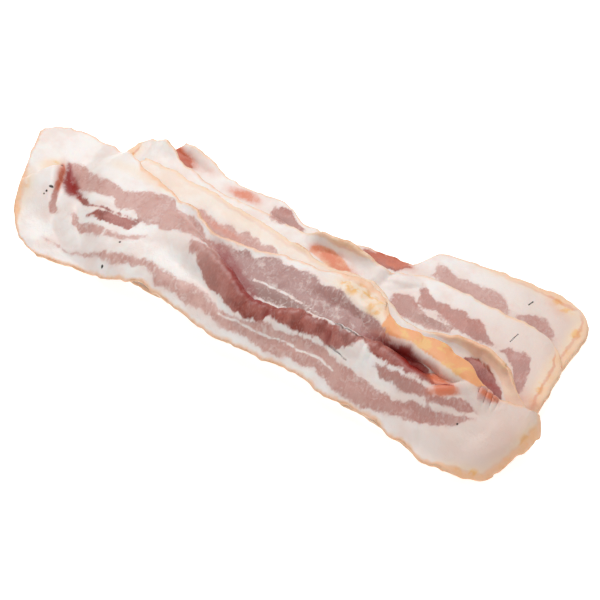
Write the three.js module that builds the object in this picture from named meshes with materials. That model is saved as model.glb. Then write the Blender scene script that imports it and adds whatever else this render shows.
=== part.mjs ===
// Four raw streaky bacon rashers lying shingled on one another, as one stack.
// Millimetres, +X along the rashers, +Z up, origin under the middle of the stack.
// Each rasher is a thin sheet: a front edge line, a width measured along the meat, rounded
// ends, and lengthwise folds given as slopes, so that folding never stretches the meat. Puckers
// that run across it are soft oval bumps and dents.
// The sheets are laid one after another on a height map of what already lies there.
import * as THREE from 'three';

const THICKNESS = 2.6;
const GAP = 0.5;
const FLOOR_LIFT = 0.15;
const EDGE_ROUND = 0.7;
const EDGE_THINNING = 0.62;
const SLOPE_STEPS = 48;
const STEEPEST = 0.78;
const UNEVEN = 0.35;
const SHIFT_X = -0.3;
const SHIFT_Y = -1.5;

// Smooth curve through [x, value] pairs that never overshoots them.
function along(...pairs) {
  const n = pairs.length;
  const rise = [];
  for (let i = 0; i < n - 1; i++) {
    rise.push((pairs[i + 1][1] - pairs[i][1]) / (pairs[i + 1][0] - pairs[i][0]));
  }
  const slope = new Array(n).fill(0);
  for (let i = 1; i < n - 1; i++) {
    if (rise[i - 1] * rise[i] <= 0) continue;
    const before = pairs[i][0] - pairs[i - 1][0];
    const after = pairs[i + 1][0] - pairs[i][0];
    const w0 = 2 * after + before;
    const w1 = after + 2 * before;
    slope[i] = (w0 + w1) / (w0 / rise[i - 1] + w1 / rise[i]);
  }
  return (at) => {
    const x = Math.min(Math.max(at, pairs[0][0]), pairs[n - 1][0]);
    let i = 0;
    while (i < n - 2 && x > pairs[i + 1][0]) i++;
    const h = pairs[i + 1][0] - pairs[i][0];
    const t = (x - pairs[i][0]) / h;
    const s = 1 - t;
    return pairs[i][1] * (1 + 2 * t) * s * s + pairs[i + 1][1] * t * t * (3 - 2 * t)
      + h * slope[i] * t * s * s - h * slope[i + 1] * t * t * s;
  };
}

// Height gained per unit of length by a slope that swells to the angle a and back.
function gain(a) {
  return (2 / Math.PI) * (a - a ** 3 / 9 + a ** 5 / 225 - a ** 7 / 11025 + a ** 9 / 893025);
}

function angleForGain(wanted) {
  let low = 0;
  let high = 1.95;
  for (let k = 0; k < 26; k++) {
    const middle = (low + high) / 2;
    if (gain(middle) < wanted) low = middle;
    else high = middle;
  }
  return (low + high) / 2;
}

// A lengthwise ridge: crest(x) is its place across the rasher, height(x) how far it stands up,
// front(x) and back(x) the lengths of meat in its two slopes.
function ridge(crest, height, front, back) {
  return (x, v) => {
    const up = Math.max(height(x), 0);
    const t = v - crest(x);
    const ahead = front(x);
    const behind = back(x);
    if (up === 0 || t <= -ahead || t >= behind) return 0;
    const [length, from, sign] = t < 0 ? [ahead, -ahead, 1] : [behind, 0, -1];
    const steepest = angleForGain(Math.min(up / length, STEEPEST));
    return sign * steepest * Math.sin(Math.PI * (t - from) / length);
  };
}

// A rear margin that rolls up: the slope grows to turn(x) over the last `reach` of the width.
function rolled(width, reach, turn) {
  return (x, v) => {
    const t = Math.min(Math.max((v - width(x) + reach) / reach, 0), 1);
    return turn(x) * t * t * (3 - 2 * t);
  };
}

function ramp(from, to, t) {
  return from + (to - from) * t;
}

function smooth(low, high, value) {
  const t = Math.min(Math.max((value - low) / (high - low), 0), 1);
  return t * t * (3 - 2 * t);
}

// A soft oval bump: its middle on the flat rasher, half its length and width, turn and height.
function spot(x, v, long, wide, turn, height) {
  const c = Math.cos(turn * Math.PI / 180);
  const s = Math.sin(turn * Math.PI / 180);
  return (px, pv) => {
    const alongIt = ((px - x) * c + (pv - v) * s) / long;
    const acrossIt = ((pv - v) * c - (px - x) * s) / wide;
    return height * Math.exp(-((alongIt ** 2 + acrossIt ** 2) ** 1.5));
  };
}

// Meat gathered to a tip, between two creases that run forward from it.
function tent(x, v, leftTurn, rightTurn, height, reach) {
  const a = leftTurn * Math.PI / 180;
  const b = rightTurn * Math.PI / 180;
  return (px, pv) => {
    const fromLeft = (px - x) * Math.sin(a) - (pv - v) * Math.cos(a);
    const fromRight = (px - x) * Math.sin(b) - (pv - v) * Math.cos(b);
    return height * smooth(-reach, -2, pv - v) * smooth(-1, 3.5, fromLeft)
      * smooth(-1.5, 2.5, fromRight);
  };
}

// The gentle lumpiness of soft meat, between about -1 and 1, different for each rasher.
function wander(t, seed, wavelength) {
  return [0.5, 0.3, 0.2].reduce((sum, share, k) => sum + share
    * Math.sin(2 * Math.PI * (t * (1 + 0.83 * k) / wavelength + seed * (0.37 + 0.61 * k))), 0);
}

function uneven(x, v, seed) {
  return wander(x + 0.6 * v, seed, 31) * 0.6 + wander(0.4 * x - 1.3 * v, seed + 2, 23) * 0.4;
}

const constant = (value) => () => value;

const topFront = along([-126, -31], [-90, -32], [-70, -30], [-50, -29.5], [-44, -28.5], [-35, -31],
  [-20, -34], [0, -36.5], [38, -36.5], [48, -39.5], [75, -41.5], [90, -45.5], [103, -48],
  [126, -47]);
// How far the wavy front margin of the top rasher reaches past that line.
const topLip = along([-128, 0.6], [-75, 0.8], [-52, 1.4], [-42, 0.4], [-30, -0.2], [-4, 1.2],
  [8, 0.9], [16, 1.3], [29, 0.8], [36, 1.6], [43, 2], [50, 0.8], [57, 0], [70, 0.4], [77, 2.6],
  [84, 0.6], [91, 2.6], [98, 0.3], [112, -0.5]);
const topWidth = along([-126, 62.2], [-110, 65.8], [-98, 64.7], [-85, 59.5], [-70, 50.7],
  [-58, 46.8], [-45, 41.5], [-32, 41.3], [-20, 44.7], [-8, 47.7], [4, 51.4], [18, 51.4],
  [31, 54.7], [42, 54.8], [48, 53.2], [54, 45], [60, 42.7], [68, 44.2], [75, 45.6], [82, 46.2],
  [88, 43.3], [94, 39], [100, 36.2], [106, 34.7], [114, 34.9], [126, 38.1]);
const secondFront = (x) => topFront(x)
  + along([-90, 2.4], [60, 2.2], [80, 0.3], [102, 0.3], [118, 2.4])(x);
const secondWidth = along([-90, 60], [-76, 57.3], [-60, 55.9], [-45, 53], [-15, 54.4], [6, 53],
  [18, 51.4], [32, 51.4], [44, 50], [52, 46.5], [60, 43], [67, 43], [74, 46], [81, 49.6],
  [89, 52.8], [97, 53.5], [104, 51.5], [112, 44], [120, 41]);
const thirdFront = along([-90, -16], [-40, -27], [40, -28], [122, -27]);
const thirdRear = along([-90, 40.5], [-84, 43.6], [-76, 43], [-67, 38.4], [-55, 34.6], [-40, 30.5],
  [-17, 29.5], [0, 28], [6, 29], [14, 30.8], [21, 31.2], [28, 30], [34, 27.3], [40, 26.3],
  [48, 29], [56, 32], [90, 30], [107, 29], [122, 27]);
const thirdWidth = (x) => thirdRear(x) - thirdFront(x);
const bottomFront = along([-70, -4], [0, -14], [122, -10]);
const bottomRear = along([-71, 49], [-60, 48.2], [-50, 44.4], [-40, 41], [-30, 40.3], [-17, 41.5],
  [-10, 38.6], [-2, 34.5], [10, 34.5], [30, 36.5], [46, 37], [50, 42.5], [54, 48], [70, 50.2],
  [90, 51.3], [105, 51.6], [124, 49]);
const bottomWidth = (x) => bottomRear(x) - bottomFront(x);

const longFold = ridge(
  along([-50, 29], [-40, 27.5], [-30, 28.4], [-22, 28.4], [-12, 26.1], [-4, 22.1], [4, 17],
    [12, 16.7], [24, 20], [36, 20.5], [48, 23.6], [60, 25.8], [72, 24.8], [84, 25.4], [97, 29]),
  along([-58, 0], [-42, 2], [-25, 6.5], [-5, 7], [8, 6.5], [40, 6], [58, 4.6], [70, 4.2],
    [85, 3.5], [102, 0]),
  constant(13), along([40, 9], [60, 6.5], [97, 6]));
const leftSwell = ridge(
  along([-126, 40], [-84, 26]), along([-126, 0], [-116, 1.5], [-100, 2], [-84, 0]),
  constant(20), constant(16));
const rearSwell = ridge(
  along([10, 45], [60, 43]), along([12, 0], [30, 3], [45, 3.5], [58, 0]), constant(8), constant(8));
const liftedRim = ridge(
  along([44, 40], [54, 38.5], [64, 38.5], [76, 38], [86, 36.5], [94, 34], [104, 30]),
  along([44, 0], [54, 3.5], [62, 6], [74, 6.6], [84, 6.4], [92, 5], [100, 2.5], [108, 0]),
  along([50, 10], [62, 8.5], [90, 8.5], [100, 7]), constant(22));

const rashers = [
  {
    name: 'rasher_bottom',
    color: 0xe6d0c8,
    cells: [46, 10],
    front: bottomFront,
    lip: constant(0),
    width: bottomWidth,
    left: along([0, -58], [0.2, -66], [0.6, -71], [0.9, -71], [1, -68]),
    right: along([0, 109], [0.1, 117.5], [0.3, 120.5], [0.55, 121.2], [0.75, 122.7],
      [0.88, 121.4], [0.96, 116], [1, 107]),
    slopes: [
      rolled(bottomWidth, 12, along([-72, 0.5], [-56, 0.35], [-44, 0])),
    ],
    bumps: [],
  },
  {
    name: 'rasher_third',
    color: 0xe4c9c0,
    cells: [46, 11],
    front: thirdFront,
    lip: constant(0),
    width: thirdWidth,
    left: along([0, -78], [0.1, -85], [0.4, -89], [0.85, -89], [0.95, -87], [1, -83]),
    right: along([0, 110], [0.1, 118], [0.3, 121], [0.7, 121.7], [0.84, 119.6], [0.94, 114],
      [1, 104]),
    slopes: [
      rolled(thirdWidth, 12, along([2, 0], [10, 1.2], [28, 1.2], [42, 0.3], [54, 0])),
      rolled(thirdWidth, 9, along([-92, 0.35], [-78, 0.2], [-60, 0])),
    ],
    bumps: [spot(18, 48, 8, 5, 0, -1.4)],
  },
  {
    name: 'rasher_second',
    color: 0xe8cfc2,
    cells: [46, 11],
    front: secondFront,
    lip: constant(0),
    width: secondWidth,
    left: along([0, -50], [0.1, -60], [0.3, -72], [0.55, -81], [0.8, -83], [1, -76]),
    right: along([0, 90], [0.1, 103], [0.3, 112], [0.6, 118], [0.8, 117.5], [0.9, 114], [1, 103]),
    slopes: [
      rolled(secondWidth, 11, along([60, 0], [80, 0.8], [100, 1], [112, 0.5], [120, 0])),
    ],
    bumps: [spot(-30, 47, 14, 4, 5, 0.8), spot(95, 44, 7, 3, -20, -1.2)],
  },
  {
    name: 'rasher_top',
    color: 0xddbab3,
    cells: [66, 18],
    front: topFront,
    lip: topLip,
    width: topWidth,
    left: along([0, -91], [0.03, -98], [0.1, -105.5], [0.2, -111.5], [0.35, -116.3],
      [0.55, -120.8], [0.8, -126], [0.93, -127.8], [1, -123.5]),
    right: along([0, 101], [0.04, 109], [0.1, 115], [0.24, 118.5], [0.4, 121], [0.6, 124.6],
      [0.8, 126.4], [0.92, 123.5], [1, 116]),
    slopes: [
      longFold,
      leftSwell,
      rearSwell,
      liftedRim,
      rolled(topWidth, 10, along([-60, 0], [-40, 0.35], [-10, 0.35], [5, 0])),
    ],
    bumps: [
      tent(-107.5, 43, 55, -65, 4.6, 30),
      spot(-98, 37, 9, 3.2, -52, -1.3),
      spot(-92, 52, 9, 4, 30, -0.8),
      spot(84.5, 27.5, 5.5, 3, 20, 2.6),
    ],
  },
];

// Height map of everything laid so far, in square cells, widened and then averaged so that a
// sheet laid on it clears every corner below and bends gently.
const CELL = 2;
const REACH = 3;
const BLUR = 2;
const MAP_X = -140;
const MAP_Y = -62;
const COLUMNS = 141;
const ROWS = 63;
const raw = new Float64Array(COLUMNS * ROWS).fill(-GAP);
let resting = raw.slice();

function gather(from, cells, combine) {
  const out = new Float64Array(from.length);
  for (let i = 0; i < COLUMNS; i++) {
    for (let j = 0; j < ROWS; j++) {
      const near = [];
      for (let a = -cells; a <= cells; a++) {
        for (let b = -cells; b <= cells; b++) {
          if (a * a + b * b > cells * cells + 0.5) continue;
          const c = Math.min(Math.max(i + a, 0), COLUMNS - 1);
          const r = Math.min(Math.max(j + b, 0), ROWS - 1);
          near.push(from[c * ROWS + r]);
        }
      }
      out[i * ROWS + j] = combine(near);
    }
  }
  return out;
}

function record(a, b, c) {
  const longest = Math.max(a.distanceTo(b), b.distanceTo(c), c.distanceTo(a));
  const steps = Math.ceil(longest / (CELL * 0.4));
  for (let i = 0; i <= steps; i++) {
    for (let j = 0; j <= steps - i; j++) {
      const p = new THREE.Vector3()
        .addScaledVector(a, i / steps)
        .addScaledVector(b, j / steps)
        .addScaledVector(c, 1 - (i + j) / steps);
      const col = Math.round((p.x - MAP_X) / CELL);
      const row = Math.round((p.y - MAP_Y) / CELL);
      const cell = col * ROWS + row;
      raw[cell] = Math.max(raw[cell], p.z);
    }
  }
}

function restingHeight(x, y) {
  const u = (x - MAP_X) / CELL;
  const w = (y - MAP_Y) / CELL;
  const i = Math.floor(u);
  const j = Math.floor(w);
  const at = (c, r) => resting[c * ROWS + r];
  return ramp(ramp(at(i, j), at(i, j + 1), w - j), ramp(at(i + 1, j), at(i + 1, j + 1), w - j),
    u - i);
}

// Point of the middle of the sheet for the fractions a along and b across the rasher.
function middlePoint(rasher, seed, a, b) {
  const x = ramp(rasher.left(b), rasher.right(b), a);
  const lip = rasher.lip(x);
  const v = ramp(-lip, rasher.width(x), b);
  let y = rasher.front(x);
  let rise = 0;
  for (let k = 0; k < SLOPE_STEPS; k++) {
    let angle = 0;
    for (const slope of rasher.slopes) angle += slope(x, v * (k + 0.5) / SLOPE_STEPS);
    y += Math.cos(angle) * v / SLOPE_STEPS;
    rise += Math.sin(angle) * v / SLOPE_STEPS;
  }
  let puckers = UNEVEN * (1 + uneven(x, v, seed));
  for (const bump of rasher.bumps) puckers += bump(x, v);
  const lift = Math.max(rise + puckers * smooth(0, 5, v + lip), 0);
  return new THREE.Vector3(x, y, lift + restingHeight(x, y) + GAP + THICKNESS / 2);
}

function layRasher(rasher, seed) {
  const [na, nb] = rasher.cells;
  const id = (i, j) => i * (nb + 1) + j;
  const middle = [];
  for (let i = 0; i <= na; i++) {
    for (let j = 0; j <= nb; j++) middle.push(middlePoint(rasher, seed, i / na, j / nb));
  }
  const count = middle.length;
  const top = [];
  const under = [];
  const outward = new Map();
  for (let i = 0; i <= na; i++) {
    for (let j = 0; j <= nb; j++) {
      const before = middle[id(Math.max(i - 1, 0), j)];
      const after = middle[id(Math.min(i + 1, na), j)];
      const front = middle[id(i, Math.max(j - 1, 0))];
      const rear = middle[id(i, Math.min(j + 1, nb))];
      const lengthwise = after.clone().sub(before).normalize();
      const across = rear.clone().sub(front).normalize();
      const normal = lengthwise.clone().cross(across).normalize();
      const border = i === 0 || i === na || j === 0 || j === nb;
      const half = THICKNESS / 2 * (border ? EDGE_THINNING : 1);
      top.push(middle[id(i, j)].clone().addScaledVector(normal, half));
      under.push(middle[id(i, j)].clone().addScaledVector(normal, -half));
      if (border) {
        const out = new THREE.Vector3();
        if (i === 0) out.sub(lengthwise);
        if (i === na) out.add(lengthwise);
        if (j === 0) out.sub(across);
        if (j === nb) out.add(across);
        outward.set(id(i, j), out.normalize());
      }
    }
  }
  const loop = [];
  for (let i = 0; i < na; i++) loop.push(id(i, 0));
  for (let j = 0; j < nb; j++) loop.push(id(na, j));
  for (let i = na; i > 0; i--) loop.push(id(i, nb));
  for (let j = nb; j > 0; j--) loop.push(id(0, j));
  const rim = loop.map((k) => middle[k].clone().addScaledVector(outward.get(k), EDGE_ROUND));
  const points = [...top, ...under, ...rim];
  const triangles = [];
  for (let i = 0; i < na; i++) {
    for (let j = 0; j < nb; j++) {
      const [p, q, r, s] = [id(i, j), id(i + 1, j), id(i + 1, j + 1), id(i, j + 1)];
      triangles.push([p, q, r], [p, r, s]);
      triangles.push([count + p, count + r, count + q], [count + p, count + s, count + r]);
      record(top[p], top[q], top[r]);
      record(top[p], top[r], top[s]);
    }
  }
  loop.forEach((k, n) => {
    const next = (n + 1) % loop.length;
    const m = loop[next];
    const [e, f] = [2 * count + n, 2 * count + next];
    triangles.push([k, e, f], [k, f, m]);
    triangles.push([e, count + k, count + m], [e, count + m, f]);
  });
  // Where the next sheets hang past the bottom one they stop just above the floor.
  raw.forEach((height, cell) => { raw[cell] = Math.max(height, FLOOR_LIFT - GAP); });
  resting = gather(gather(raw, REACH, (near) => Math.max(...near)), BLUR,
    (near) => near.reduce((sum, value) => sum + value, 0) / near.length);
  const geometry = new THREE.BufferGeometry();
  geometry.setAttribute('position', new THREE.Float32BufferAttribute(
    points.flatMap((p) => [p.x + SHIFT_X, p.y + SHIFT_Y, p.z]), 3));
  geometry.setIndex(triangles.flat());
  geometry.computeVertexNormals();
  return geometry;
}

const group = new THREE.Group();
group.name = 'bacon_rasher_stack';
rashers.forEach((rasher, index) => {
  const material = new THREE.MeshStandardMaterial({
    color: rasher.color,
    roughness: 0.45,
    metalness: 0,
  });
  const mesh = new THREE.Mesh(layRasher(rasher, index + 1), material);
  mesh.name = rasher.name;
  group.add(mesh);
});

export default group;
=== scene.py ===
# %% [markdown]
# A stack of raw streaky bacon, as it slides out of its pack.
# Four rashers lie shingled, each a little further forward than the one below it, and cling together.
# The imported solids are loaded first, so that everything made here lands in their frame, in metres.

# %% Load the solids
import bpy
import math
import types
import numpy as np
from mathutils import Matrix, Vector


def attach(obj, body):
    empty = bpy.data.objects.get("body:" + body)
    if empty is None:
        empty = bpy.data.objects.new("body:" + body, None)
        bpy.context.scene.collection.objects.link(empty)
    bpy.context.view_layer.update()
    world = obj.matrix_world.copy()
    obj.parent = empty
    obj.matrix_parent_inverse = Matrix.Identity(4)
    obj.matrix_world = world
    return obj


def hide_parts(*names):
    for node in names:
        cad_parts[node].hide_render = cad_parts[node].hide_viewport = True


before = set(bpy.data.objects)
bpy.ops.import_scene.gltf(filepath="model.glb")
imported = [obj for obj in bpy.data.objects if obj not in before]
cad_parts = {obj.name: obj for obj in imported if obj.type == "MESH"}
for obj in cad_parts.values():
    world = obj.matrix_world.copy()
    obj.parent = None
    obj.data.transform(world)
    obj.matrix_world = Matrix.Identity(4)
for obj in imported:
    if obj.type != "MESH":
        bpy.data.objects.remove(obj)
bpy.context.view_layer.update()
print("solids:", sorted(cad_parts))

# %% [markdown]
# A rasher is a thin sheet with a firm, slightly springy feel. It could be pushed about with cloth
# simulation, but its folds would never fall as these do. Instead each rasher is drawn as a tailor
# draws cloth: a front edge line, a width measured along the meat, and slopes that fold it.
# All such lines are smooth curves through a few chosen points, in millimetres, and a small shift
# at the end centres the stack.

# %% Sizes and smooth curves
MM = 0.001
THICKNESS = 2.6
GAP = 0.5
FLOOR_LIFT = 0.15
SHIFT_X = -0.3
SHIFT_Y = -1.5


def along(*pairs):
    """A smooth curve through (x, value) pairs that never overshoots them."""
    xs, values = np.array(pairs, float).T
    span = np.diff(xs)
    rise = np.diff(values) / span
    slope = np.zeros(len(xs))
    for i in range(1, len(xs) - 1):
        if rise[i - 1] * rise[i] > 0:
            w0 = 2 * span[i] + span[i - 1]
            w1 = span[i] + 2 * span[i - 1]
            slope[i] = (w0 + w1) / (w0 / rise[i - 1] + w1 / rise[i])

    def curve(at):
        x = np.clip(at, xs[0], xs[-1])
        i = np.clip(np.searchsorted(xs, x, side="right") - 1, 0, len(xs) - 2)
        t = (x - xs[i]) / span[i]
        s = 1 - t
        ends = values[i] * (1 + 2 * t) * s * s + values[i + 1] * t * t * (3 - 2 * t)
        return ends + span[i] * t * s * (slope[i] * s - slope[i + 1] * t)
    return curve


def level(value):
    """A curve that is the same everywhere."""
    return along((0, value), (1, value))


def smooth(low, high, value):
    """0 below low, 1 above high and an even ease between them."""
    t = np.clip((value - low) / (high - low), 0, 1)
    return t * t * (3 - 2 * t)


print("a curve through 0, 1, 0:", along((0, 0), (1, 1), (2, 0))(np.array([0.5, 1.0])))

# %% [markdown]
# A fold is a slope that swells and dies away. Adding up the slope across the rasher gives its
# height, and adding up how far it still moves backwards gives its place, so the meat bends and
# never stretches. A ridge has a rising front and a falling back; a rolled margin only turns up.

# %% Folds as slopes
TILTS = np.linspace(0, 1.95, 80)
GAINS = np.array([np.sin(a * np.sin(np.pi * (np.arange(64) + 0.5) / 64)).mean() for a in TILTS])


def ridge(crest, height, front, back):
    """A lengthwise ridge; front and back say how much meat lies in its two slopes along x."""
    def at(x):
        middle, ahead, behind = crest(x), front(x), back(x)
        up = np.maximum(height(x), 0)
        rising = np.interp(up / ahead, GAINS, TILTS)
        falling = np.interp(up / behind, GAINS, TILTS)

        def slope(v):
            t = v - middle
            climb = rising * np.sin(np.pi * np.clip((t + ahead) / ahead, 0, 1))
            drop = falling * np.sin(np.pi * np.clip(t / behind, 0, 1))
            return climb - drop
        return slope
    return at


def rolled(width, reach, turn):
    """A rear margin whose slope grows to turn(x) over the last stretch of the width."""
    def at(x):
        start = width(x) - reach
        most = turn(x)
        return lambda v: most * smooth(0, reach, v - start)
    return at


print("a 6 mm ridge on 13 mm of meat is as steep as",
      round(math.degrees(np.interp(6 / 13, GAINS, TILTS))), "degrees")

# %% [markdown]
# Now the four rashers themselves, from the bottom one up. Their front edges, widths and rounded
# ends were judged from the stack. The lower three show only a margin and a right end, but
# each is whole, as a real one is. The top one has the long fold, a raised rear margin and, near its
# right end, a rim that rolls forward over a pocket.

# %% Outlines of the rashers
top_front = along((-126, -31), (-90, -32), (-70, -30), (-50, -29.5), (-44, -28.5), (-35, -31),
                  (-20, -34), (0, -36.5), (38, -36.5), (48, -39.5), (75, -41.5), (90, -45.5),
                  (103, -48), (126, -47))
top_lip = along((-128, 0.6), (-75, 0.8), (-52, 1.4), (-42, 0.4), (-30, -0.2), (-4, 1.2), (8, 0.9),
                (16, 1.3), (29, 0.8), (36, 1.6), (43, 2), (50, 0.8), (57, 0), (70, 0.4),
                (77, 2.6), (84, 0.6), (91, 2.6), (98, 0.3), (112, -0.5))
top_width = along((-126, 62.2), (-110, 65.8), (-98, 64.7), (-85, 59.5), (-70, 50.7),
                  (-58, 46.8), (-45, 41.5), (-32, 41.3), (-20, 44.7), (-8, 47.7), (4, 51.4),
                  (18, 51.4), (31, 54.7), (42, 54.8), (48, 53.2), (54, 45), (60, 42.7),
                  (68, 44.2), (75, 45.6), (82, 46.2), (88, 43.3), (94, 39), (100, 36.2),
                  (106, 34.7), (114, 34.9), (126, 38.1))
second_width = along((-90, 60), (-76, 57.3), (-60, 55.9), (-45, 53), (-15, 54.4), (6, 52),
                     (17, 49), (30, 50), (44, 50), (52, 46.5), (60, 43), (67, 43),
                     (74, 46), (81, 49.6), (89, 52.8), (97, 53.5), (104, 51.5), (112, 44),
                     (120, 41))
third_front = along((-90, -16), (-40, -27), (40, -28), (122, -27))
third_rear = along((-90, 40.5), (-84, 44), (-76, 44.6), (-70, 41.3), (-64, 37.4), (-55, 34.6),
                   (-40, 30.5), (-17, 29.5), (0, 28), (6, 29), (14, 30.8), (21, 31.2), (28, 30),
                   (34, 27.3), (40, 26.3), (48, 29), (56, 32), (90, 30), (107, 29), (122, 27))
bottom_front = along((-70, -4), (0, -14), (122, -10))
bottom_rear = along((-71, 49), (-60, 48.2), (-50, 44.4), (-40, 41), (-30, 40.3), (-17, 41.5),
                    (-10, 38.6), (-2, 34.5), (10, 34.5), (30, 36.5), (46, 37), (50, 42.5),
                    (54, 48), (70, 50.2), (90, 51.3), (105, 51.6), (124, 49))
second_setback = along((-90, 2.4), (60, 2.2), (80, 0.3), (102, 0.3), (118, 2.4))


def second_front(x):
    return top_front(x) + second_setback(x)


def third_width(x):
    return third_rear(x) - third_front(x)


def bottom_width(x):
    return bottom_rear(x) - bottom_front(x)


bottom = dict(
    node="rasher_bottom", cells=(200, 56), front=bottom_front, lip=level(0),
    width=bottom_width,
    left=along((0, -58), (0.2, -66), (0.6, -71), (0.9, -71), (1, -68)),
    right=along((0, 109), (0.1, 117.5), (0.3, 120.5), (0.55, 121.2), (0.75, 122.7),
                (0.88, 121.4), (0.96, 116), (1, 107)),
    folds=[rolled(bottom_width, 12, along((-72, 0.5), (-56, 0.35), (-44, 0)))])

third = dict(
    node="rasher_third", cells=(200, 56), front=third_front, lip=level(0),
    width=third_width,
    left=along((0, -78), (0.1, -85), (0.4, -89), (0.85, -89), (0.95, -87), (1, -83)),
    right=along((0, 110), (0.1, 118), (0.3, 121), (0.7, 121.7), (0.84, 119.6), (0.94, 114),
                (1, 104)),
    folds=[rolled(third_width, 12, along((2, 0), (10, 1.1), (27, 1.1), (38, 0.3), (54, 0))),
           rolled(third_width, 9, along((-92, 0.35), (-78, 0.2), (-60, 0)))])

second = dict(
    node="rasher_second", cells=(200, 56), front=second_front, lip=level(0),
    width=second_width,
    left=along((0, -50), (0.1, -60), (0.3, -72), (0.55, -81), (0.8, -83), (1, -76)),
    right=along((0, 90), (0.1, 103), (0.3, 112), (0.6, 118), (0.8, 117.5), (0.9, 114),
                (1, 103)),
    folds=[rolled(second_width, 11, along((60, 0), (80, 0.8), (100, 1), (112, 0.5), (120, 0)))])

fold_crest = along((-50, 29), (-40, 26.8), (-30, 26.8), (-22, 26), (-12, 23.6), (-4, 19.6),
                   (4, 15.7), (12, 15.8), (24, 19.6), (36, 20.2), (48, 22.8), (60, 24.4),
                   (66, 23.4), (72, 21.8), (79, 21.2), (86, 22.4), (97, 27))
long_fold = ridge(
    fold_crest,
    along((-58, 0), (-42, 2), (-25, 6.3), (-5, 6.6), (8, 6.4), (40, 6), (58, 4.6), (70, 4.2),
          (85, 3.5), (102, 0)),
    level(13), along((40, 9), (60, 6.5), (97, 6)))
left_swell = ridge(
    along((-126, 40), (-84, 26)), along((-126, 0), (-116, 1.5), (-100, 2), (-84, 0)),
    level(20), level(16))
rear_swell = ridge(along((10, 45), (60, 43)), along((12, 0), (30, 2.4), (45, 2.7), (58, 0)),
                   level(8), level(8))
lifted_rim = ridge(
    along((44, 40), (54, 38.5), (64, 38.5), (76, 38), (86, 36.5), (94, 34), (104, 30)),
    along((44, 0), (54, 3.5), (62, 6), (74, 6.6), (84, 6.4), (92, 5), (100, 2.5), (108, 0)),
    along((50, 10), (62, 8.5), (90, 8.5), (100, 7)), level(22))

top = dict(
    node="rasher_top", cells=(340, 120), front=top_front, lip=top_lip,
    width=top_width,
    left=along((0, -91), (0.03, -98), (0.1, -105.5), (0.2, -111.5), (0.35, -116.3),
               (0.55, -120.8), (0.8, -126), (0.93, -127.8), (1, -123.5)),
    right=along((0, 101), (0.04, 109), (0.1, 115), (0.24, 118.5), (0.4, 121), (0.6, 124.6),
                (0.8, 126), (0.92, 123.2), (1, 116)),
    folds=[long_fold, left_swell, rear_swell, lifted_rim,
           rolled(top_width, 10, along((-60, 0), (-40, 0.35), (-10, 0.35), (5, 0)))])

print("rashers:", [r["node"] for r in (bottom, third, second, top)])

# %% [markdown]
# Folds run lengthwise. What is puckered across the meat is a soft oval bump or dent instead, placed
# on the flat rasher. The left end of the top one is gathered into a small tent: two straight creases
# meet at its tip, and the meat between them rises towards it. Fine wrinkles run down the crest of
# the long fold, where the meat is pressed together.

# %% Bumps, dents and the gathered end
def spot(x, v, long, wide, turn, strength):
    """A soft oval: its middle, half its length and width, its turn in degrees, its strength."""
    c, s = math.cos(math.radians(turn)), math.sin(math.radians(turn))

    def at(px, pv):
        dx, dv = px - x, pv - v
        along_it = (dx * c + dv * s) / long
        across_it = (dv * c - dx * s) / wide
        return strength * np.exp(-(along_it ** 2 + across_it ** 2) ** 1.5)
    return at


def tent(x, v, left_turn, right_turn, height, reach):
    """Meat gathered to a tip, between two creases that run forward from it."""
    a, b = math.radians(left_turn), math.radians(right_turn)

    def at(px, pv):
        dx, dv = px - x, pv - v
        from_left = dx * math.sin(a) - dv * math.cos(a)
        from_right = dv * math.cos(b) - dx * math.sin(b)
        rise = smooth(-reach, -2, dv)
        return height * rise * smooth(-1, 3.5, from_left) * smooth(-1.5, 2.5, -from_right)
    return at


def creases(crest, first, last, depth):
    """Fine wrinkles that run down a crest, as in meat pressed together lengthwise."""
    def at(px, pv):
        off = pv - crest(px)
        ripple = np.sin(px * 1.9 + off * 0.35) + 0.7 * np.sin(px * 1.13 - off * 0.5 + 1)
        there = smooth(first, first + 8, px) * (1 - smooth(last - 8, last, px))
        return depth * ripple * there * np.exp(-(off / 7) ** 2)
    return at


top["bumps"] = [
    creases(fold_crest, -34, 64, 0.32),
    tent(-107.5, 43, 55, -65, 4.6, 30),
    spot(-98, 37, 9, 3.2, -52, -1.3), spot(-88, 30, 6, 2, -35, -0.7), spot(-72, 25, 12, 1.6, -6, -0.5),
    spot(-92, 52, 9, 4, 30, -0.8), spot(-56, 33, 7, 4, 80, 0.7), spot(-42, 30, 5, 3, 90, -0.5),
    spot(14, 17, 7, 1.8, 62, -1.2), spot(25, 18, 6, 1.5, 75, -0.7), spot(39, 17.5, 6, 1.8, 105, -1.1),
    spot(2, 14, 6, 1.8, 70, -0.7), spot(-12, 20, 8, 1.8, 60, -0.6), spot(48, 16, 7, 1.6, 20, -0.6),
    spot(8, 40, 6, 3, 70, 0.6), spot(28, 38, 6, 2.5, 80, 0.7), spot(44, 36, 6, 3, 70, -0.7),
    spot(34, 49, 5, 2, 80, 0.9), spot(42, 48, 5, 2, 85, -0.8), spot(48, 46, 5, 2, 80, 0.8),
    spot(84.5, 27.5, 5.5, 3, 20, 2.6), spot(90, 26.5, 7, 1.8, 42, 1.7), spot(87, 24.5, 6, 1.2, 38, -0.9),
    spot(76, 30, 4, 2, 10, 1.6), spot(101, 31.5, 4, 0.9, 100, 0.7), spot(103.6, 32, 4, 0.9, 100, 0.7),
    spot(106, 32.3, 4, 0.9, 100, 0.6), spot(87, 6, 6, 1.6, 110, -0.5), spot(112, 14, 10, 5, 60, 0.8)]
second["bumps"] = [spot(-30, 47, 14, 4, 5, 0.8), spot(95, 44, 7, 3, -20, -1.2)]
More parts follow.
